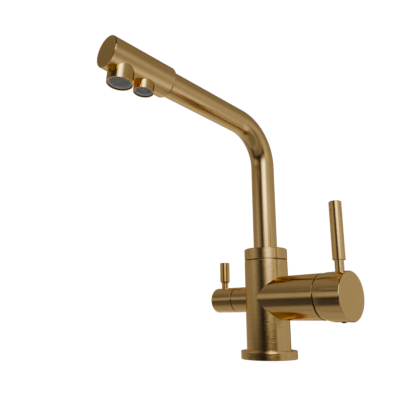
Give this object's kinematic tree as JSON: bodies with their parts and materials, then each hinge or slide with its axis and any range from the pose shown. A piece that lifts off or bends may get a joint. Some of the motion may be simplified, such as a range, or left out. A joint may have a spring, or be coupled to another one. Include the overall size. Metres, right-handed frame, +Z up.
{
  "type": "three way filtered water tap",
  "caption": "Kitchen mixer tap with an angled swivel spout, a side lever for mixed hot and cold water, and a small side lever for filtered water at its own outlet.",
  "frame": {"origin": "centre of the foot ring's underside, on the sink deck, at the mouth of the fixing stud's hole", "axes": "+Z up along the column; spout towards -Y; mixer lever side towards +X; filtered water side towards -X"},
  "size_m": [0.17, 0.2419, 0.2833],
  "materials": {
    "brushed_brass": "fine brushed, warm gold tone",
    "inner_brass": "turned, unplated",
    "ceramic": "lapped white ceramic",
    "cartridge_plastic": "moulded",
    "tube_plastic": "smooth, food grade",
    "seal_rubber": "matte",
    "seam_plastic": "dark, satin",
    "screw_steel": "satin",
    "aerator_plastic": "light grey, moulded",
    "aerator_mesh": "woven wire",
    "plug_plastic": "dark, satin"
  },
  "bodies": {
    "tap": {"base_flange": "brushed_brass", "base_seal": "seal_rubber", "tap_body": "brushed_brass", "mixer_barrel": "brushed_brass", "filter_barrel": "brushed_brass", "spout_lock_screw": "screw_steel", "spout_slip_washer": "seam_plastic", "mixer_cartridge": "cartridge_plastic", "cartridge_port_seals": "seal_rubber", "fixed_ceramic_disc": "ceramic", "cartridge_nut": "inner_brass", "dome_cover": "seam_plastic", "filter_seam_ring": "seam_plastic", "filter_valve_body": "inner_brass", "filter_seat_seal": "seal_rubber", "filter_fixed_disc": "ceramic"},
    "spout": {"spout_collar": "brushed_brass", "spout_stem": "inner_brass", "spout_o_rings": "seal_rubber", "spout_bearing_rings": "tube_plastic", "spout_tube": "brushed_brass", "filtered_water_tube": "tube_plastic", "filter_tube_o_rings": "seal_rubber", "spout_head": "brushed_brass", "main_nozzle": "brushed_brass", "filter_nozzle": "brushed_brass", "main_aerator_ring": "aerator_plastic", "main_aerator_screen": "aerator_mesh", "main_aerator_washer": "seal_rubber", "filter_aerator_ring": "aerator_plastic", "filter_aerator_screen": "aerator_mesh", "filter_aerator_washer": "seal_rubber", "filter_elbow": "inner_brass"},
    "cartridge_carrier": {"cartridge_carrier": "cartridge_plastic", "stem_pivot_pin": "screw_steel"},
    "flow_disc": {"moving_ceramic_disc": "ceramic"},
    "mixer_handle": {"mixer_stem": "inner_brass", "mixer_hub": "brushed_brass", "mixer_lever_rod": "brushed_brass", "hub_grub_screw": "screw_steel", "hub_screw_plug": "plug_plastic"},
    "filter_handle": {"filter_spindle": "inner_brass", "filter_moving_disc": "ceramic", "filter_knob": "brushed_brass", "filter_lever_rod": "brushed_brass", "filter_grub_screw": "screw_steel"}
  },
  "joints": [
    {"name": "spout_swivel", "type": "hinge", "parent": "tap", "child": "spout", "pos_m": [0, 0, 0.095], "axis": [0, 0, 1], "continuous": true},
    {"name": "mixer_temperature", "type": "hinge", "parent": "tap", "child": "cartridge_carrier", "pos_m": [0.058, 0, 0.0608], "axis": [1, 0, 0], "range_deg": [-45, 45]},
    {"name": "mixer_flow", "type": "hinge", "parent": "cartridge_carrier", "child": "mixer_handle", "pos_m": [0.058, 0, 0.0608], "axis": [0, 1, 0], "range_deg": [0, 25]},
    {"name": "flow_disc_slide", "type": "slide", "parent": "cartridge_carrier", "child": "flow_disc", "axis": [0, 0, 1], "range_m": [0, 0.0039]},
    {"name": "filter_valve", "type": "hinge", "parent": "tap", "child": "filter_handle", "pos_m": [-0.05, 0, 0.0608], "axis": [1, 0, 0], "range_deg": [0, 90]}
  ],
  "couplings": [
    {"joint": "flow_disc_slide", "follows": "mixer_flow", "m_per_rad": 0.0088}
  ]
}
